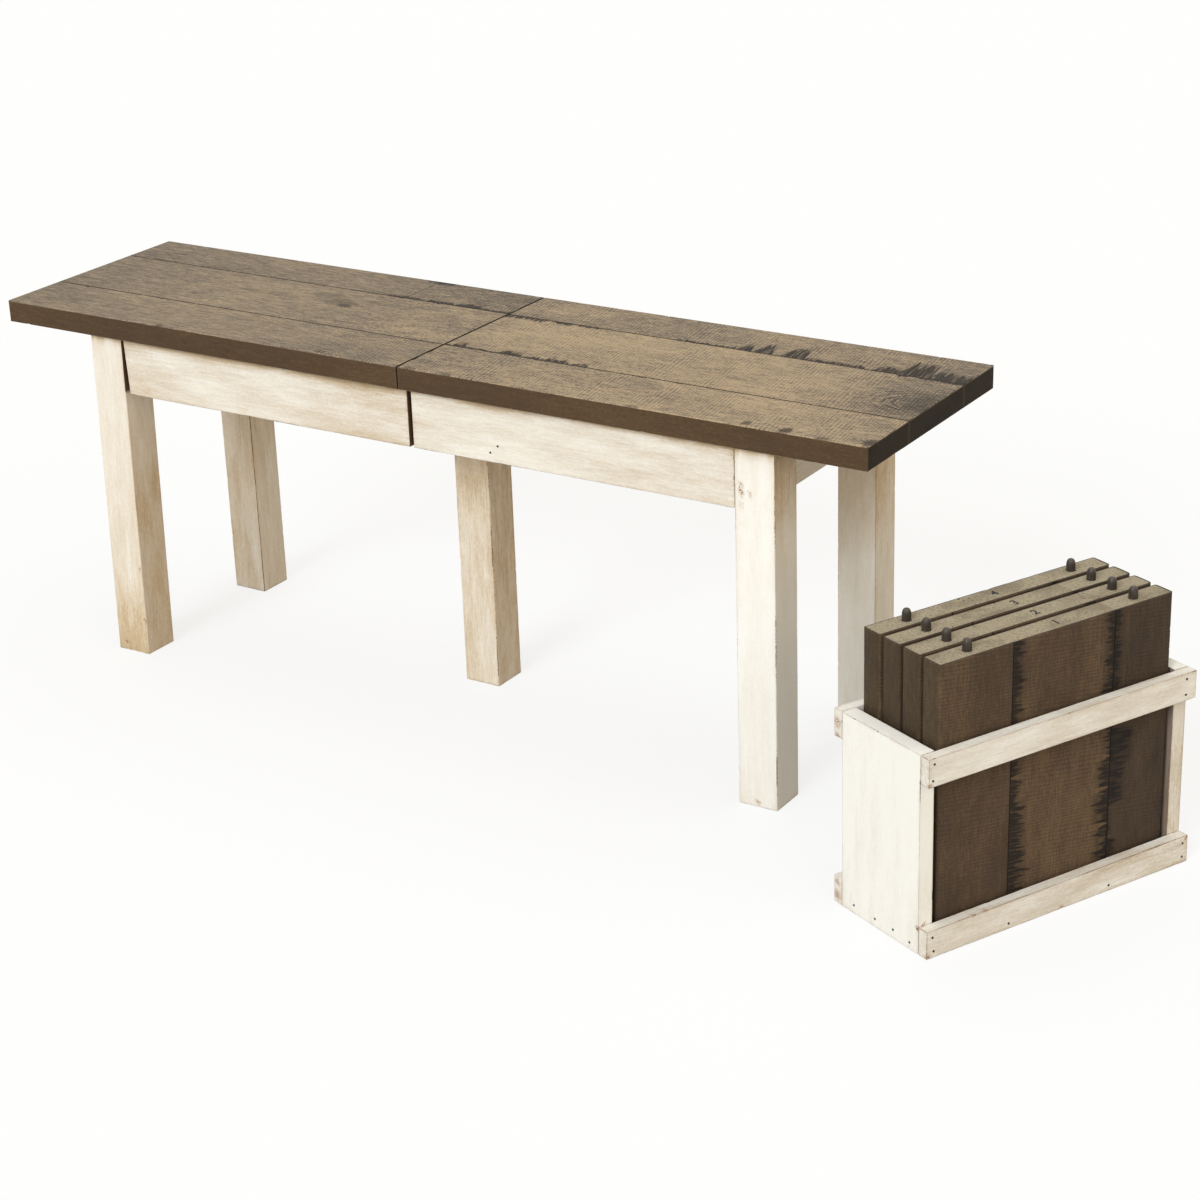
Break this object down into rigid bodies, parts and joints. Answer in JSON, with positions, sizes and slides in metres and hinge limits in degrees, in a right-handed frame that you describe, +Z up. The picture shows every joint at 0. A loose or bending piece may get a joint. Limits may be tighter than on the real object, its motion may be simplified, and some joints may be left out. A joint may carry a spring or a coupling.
{
  "type": "extension bench",
  "caption": "Plank-topped bench split at mid length, drawn apart on wooden slides over a centre leg, with loose pinned leaves stored in a slatted crate beside it.",
  "frame": {"origin": "middle of the centre leg's foot, on the floor, bench closed", "axes": "+X along the bench to its right end, where the leaf crate stands; +Y to its back; +Z up"},
  "size_m": [1.5457, 0.5176, 0.46],
  "materials": {
    "seat_wood": "brown-grey stain on rough-sawn planks, satin",
    "leaf_wood": "dark brown stain on rough-sawn planks, satin",
    "pin_wood": "dark stained turned dowel",
    "cream_paint": "cream paint with tan glaze and light rub-through",
    "maple": "bare waxed maple",
    "zinc_steel": "zinc-plated steel"
  },
  "bodies": {
    "right_half": {"right_front_board": "seat_wood", "right_middle_board": "seat_wood", "right_back_board": "seat_wood", "right_front_leg": "cream_paint", "right_front_apron": "cream_paint", "right_front_corner_brace": "maple", "right_front_corner_bolt": "zinc_steel", "front_right_outer_rail": "maple", "right_back_leg": "cream_paint", "right_back_apron": "cream_paint", "right_back_corner_brace": "maple", "right_back_corner_bolt": "zinc_steel", "back_right_outer_rail": "maple", "right_end_apron": "cream_paint", "front_seat_pin": "pin_wood", "back_seat_pin": "pin_wood"},
    "right_slide": {"front_right_inner_rail": "maple", "back_right_inner_rail": "maple"},
    "centre": {"front_centre_rail": "maple", "back_centre_rail": "maple", "cross_block": "maple", "centre_leg": "cream_paint"},
    "left_slide": {"front_left_inner_rail": "maple", "back_left_inner_rail": "maple"},
    "left_half": {"left_front_board": "seat_wood", "left_middle_board": "seat_wood", "left_back_board": "seat_wood", "left_front_leg": "cream_paint", "left_front_apron": "cream_paint", "left_front_corner_brace": "maple", "left_front_corner_bolt": "zinc_steel", "front_left_outer_rail": "maple", "left_back_leg": "cream_paint", "left_back_apron": "cream_paint", "left_back_corner_brace": "maple", "left_back_corner_bolt": "zinc_steel", "back_left_outer_rail": "maple", "left_end_apron": "cream_paint"},
    "crate": {"crate_left_end": "cream_paint", "crate_right_end": "cream_paint", "crate_front_bottom_slat": "cream_paint", "crate_front_top_slat": "cream_paint", "crate_back_bottom_slat": "cream_paint", "crate_back_top_slat": "cream_paint", "crate_bottom_board": "cream_paint"},
    "leaf_1": {"leaf_1_panel": "leaf_wood", "leaf_1_left_pin": "pin_wood", "leaf_1_right_pin": "pin_wood"},
    "leaf_2": {"leaf_2_panel": "leaf_wood", "leaf_2_left_pin": "pin_wood", "leaf_2_right_pin": "pin_wood"},
    "leaf_3": {"leaf_3_panel": "leaf_wood", "leaf_3_left_pin": "pin_wood", "leaf_3_right_pin": "pin_wood"},
    "leaf_4": {"leaf_4_panel": "leaf_wood", "leaf_4_left_pin": "pin_wood", "leaf_4_right_pin": "pin_wood"}
  },
  "joints": [
    {"name": "right_outer_slide", "type": "slide", "parent": "right_half", "child": "right_slide", "axis": [-1, 0, 0], "range_m": [0, 0.305]},
    {"name": "right_inner_slide", "type": "slide", "parent": "right_slide", "child": "centre", "axis": [-1, 0, 0], "range_m": [0, 0.305]},
    {"name": "left_inner_slide", "type": "slide", "parent": "centre", "child": "left_slide", "axis": [-1, 0, 0], "range_m": [0, 0.305]},
    {"name": "left_outer_slide", "type": "slide", "parent": "left_slide", "child": "left_half", "axis": [-1, 0, 0], "range_m": [0, 0.305]},
    {"name": "crate_lift", "type": "slide", "parent": "right_half", "child": "crate", "axis": [0, 0, 1], "range_m": [0, 0.3]},
    {"name": "leaf_1_lift", "type": "slide", "parent": "crate", "child": "leaf_1", "axis": [0, 0, 1], "range_m": [0, 0.24]},
    {"name": "leaf_2_lift", "type": "slide", "parent": "crate", "child": "leaf_2", "axis": [0, 0, 1], "range_m": [0, 0.24]},
    {"name": "leaf_3_lift", "type": "slide", "parent": "crate", "child": "leaf_3", "axis": [0, 0, 1], "range_m": [0, 0.24]},
    {"name": "leaf_4_lift", "type": "slide", "parent": "crate", "child": "leaf_4", "axis": [0, 0, 1], "range_m": [0, 0.24]}
  ]
}
